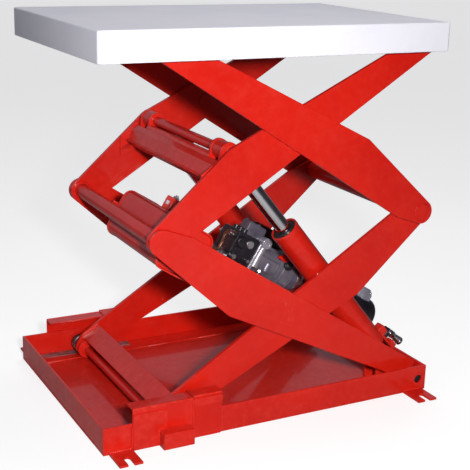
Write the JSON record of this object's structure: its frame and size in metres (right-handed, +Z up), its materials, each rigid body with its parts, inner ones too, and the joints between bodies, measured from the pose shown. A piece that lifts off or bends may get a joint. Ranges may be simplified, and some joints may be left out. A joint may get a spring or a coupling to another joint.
{
  "type": "scissor lift table",
  "caption": "Double-scissor hydraulic lift table: rectangular skirted platform on two stacked pairs of crossed legs, with a low frame base, twin rams and an electric power unit inside.",
  "frame": {"origin": "centre of the base's footprint, on the floor", "axes": "+Z up, +X towards the pinned ends of the legs, -X towards the rolling ends; -Y is the front in the usual view"},
  "size_m": [0.921, 0.768, 0.9667],
  "materials": {
    "red_enamel": "gloss enamel, red-orange",
    "white_enamel": "satin white enamel",
    "worn_track_steel": "worn bare steel",
    "machined_steel": "turned steel",
    "roller_steel": "turned steel, greasy",
    "hard_chrome": "ground hard chrome",
    "bronze": "sintered bronze",
    "black_paint": "black paint",
    "cast_aluminium": "cast, as-moulded skin",
    "grey_paint": "grey machine paint",
    "black_plastic": "moulded",
    "grey_plastic": "moulded",
    "red_plastic": "moulded"
  },
  "bodies": {
    "base": {"base_rail_front": "red_enamel", "base_rail_rear": "red_enamel", "end_plate_left": "red_enamel", "end_plate_right": "red_enamel", "floor_pan": "red_enamel", "roller_track_strips": "worn_track_steel", "anchor_tabs": "red_enamel", "roller_guard_front": "red_enamel", "roller_guard_rear": "red_enamel", "front_stub_tube": "red_enamel", "base_pivot_brackets": "red_enamel", "base_pivot_pins": "machined_steel", "cylinder_base_ears": "red_enamel"},
    "lower_outer_legs": {"lower_outer_leg_front": "red_enamel", "lower_outer_leg_rear": "red_enamel", "left_knuckle_tube": "red_enamel", "lower_centre_tube": "red_enamel", "base_pivot_bushes": "bronze", "power_unit_cradle": "red_enamel", "oil_tank": "red_enamel", "tank_breather": "black_plastic", "valve_coil": "red_plastic", "coil_connector": "grey_plastic", "pump_manifold": "black_paint", "bell_housing": "cast_aluminium", "drive_motor": "grey_paint", "motor_end_cap": "black_plastic", "conduit_box": "grey_paint", "hydraulic_fittings": "machined_steel"},
    "lower_inner_legs": {"lower_inner_leg_front": "red_enamel", "lower_inner_leg_rear": "red_enamel", "right_knuckle_tube": "red_enamel", "lower_centre_bushes": "bronze", "lower_roller_axle": "red_enamel", "roller_end_plate": "red_enamel"},
    "upper_inner_legs": {"upper_inner_leg_front": "red_enamel", "upper_inner_leg_rear": "red_enamel", "upper_inner_bushes": "bronze", "lift_beam": "red_enamel", "rod_ears": "red_enamel", "rod_pin_shaft": "red_enamel"},
    "upper_outer_legs": {"upper_outer_leg_front": "red_enamel", "upper_outer_leg_rear": "red_enamel", "upper_centre_pins": "red_enamel", "top_roller_stubs": "machined_steel"},
    "platform": {"platform_deck": "white_enamel", "platform_skirt": "white_enamel", "platform_ribs": "red_enamel", "platform_tracks": "worn_track_steel", "platform_pivot_ears": "red_enamel", "platform_pivot_pins": "machined_steel"},
    "cylinder_rods": {"cylinder_rods": "hard_chrome", "rod_pistons": "machined_steel"},
    "cylinder_barrels": {"cylinder_barrels": "red_enamel", "cylinder_glands": "machined_steel", "cylinder_ports": "red_enamel"},
    "base_roller_front": {"base_roller_front": "roller_steel"},
    "base_roller_rear": {"base_roller_rear": "roller_steel"},
    "top_roller_front": {"top_roller_front": "roller_steel"},
    "top_roller_rear": {"top_roller_rear": "roller_steel"}
  },
  "joints": [
    {"name": "lift", "type": "hinge", "parent": "base", "child": "lower_outer_legs", "pos_m": [0.433, 0, 0.032], "axis": [0, 1, 0], "range_deg": [-24.7, 9.1]},
    {"name": "lower_centre_pivot", "type": "hinge", "parent": "lower_outer_legs", "child": "lower_inner_legs", "pos_m": [0.068, 0, 0.25743], "axis": [0, 1, 0], "range_deg": [-18.25, 49.45]},
    {"name": "left_knuckle_pivot", "type": "hinge", "parent": "lower_outer_legs", "child": "upper_inner_legs", "pos_m": [-0.297, 0, 0.48285], "axis": [0, 1, 0], "range_deg": [-18.25, 49.45]},
    {"name": "upper_centre_pivot", "type": "hinge", "parent": "upper_inner_legs", "child": "upper_outer_legs", "pos_m": [0.068, 0, 0.70828], "axis": [0, 1, 0], "range_deg": [-49.45, 18.25]},
    {"name": "platform_pivot", "type": "hinge", "parent": "upper_inner_legs", "child": "platform", "pos_m": [0.433, 0, 0.93371], "axis": [0, 1, 0], "range_deg": [-24.75, 9.15]},
    {"name": "rod_pin_pivot", "type": "hinge", "parent": "upper_inner_legs", "child": "cylinder_rods", "pos_m": [-0.11112, 0, 0.67288], "axis": [0, 1, 0], "range_deg": [-54.64, 20.16]},
    {"name": "cylinder_stroke", "type": "slide", "parent": "cylinder_rods", "child": "cylinder_barrels", "axis": [0.6323, 0, -0.7747], "range_m": [-0.23372, 0.08642]},
    {"name": "base_roller_front_spin", "type": "hinge", "parent": "lower_inner_legs", "child": "base_roller_front", "pos_m": [-0.297, -0.29, 0.032], "axis": [0, 1, 0], "continuous": true},
    {"name": "base_roller_rear_spin", "type": "hinge", "parent": "lower_inner_legs", "child": "base_roller_rear", "pos_m": [-0.297, 0.29, 0.032], "axis": [0, 1, 0], "continuous": true},
    {"name": "top_roller_front_spin", "type": "hinge", "parent": "upper_outer_legs", "child": "top_roller_front", "pos_m": [-0.297, -0.286, 0.93371], "axis": [0, 1, 0], "continuous": true},
    {"name": "top_roller_rear_spin", "type": "hinge", "parent": "upper_outer_legs", "child": "top_roller_rear", "pos_m": [-0.297, 0.286, 0.93371], "axis": [0, 1, 0], "continuous": true}
  ],
  "couplings": [
    {"joint": "lower_centre_pivot", "follows": "lift", "ratio": -2},
    {"joint": "left_knuckle_pivot", "follows": "lift", "ratio": -2},
    {"joint": "upper_centre_pivot", "follows": "lift", "ratio": 2},
    {"joint": "platform_pivot", "follows": "lift", "ratio": 1},
    {"joint": "rod_pin_pivot", "follows": "lift", "ratio": 2.21},
    {"joint": "cylinder_stroke", "follows": "lift", "m_per_rad": 0.541}
  ]
}
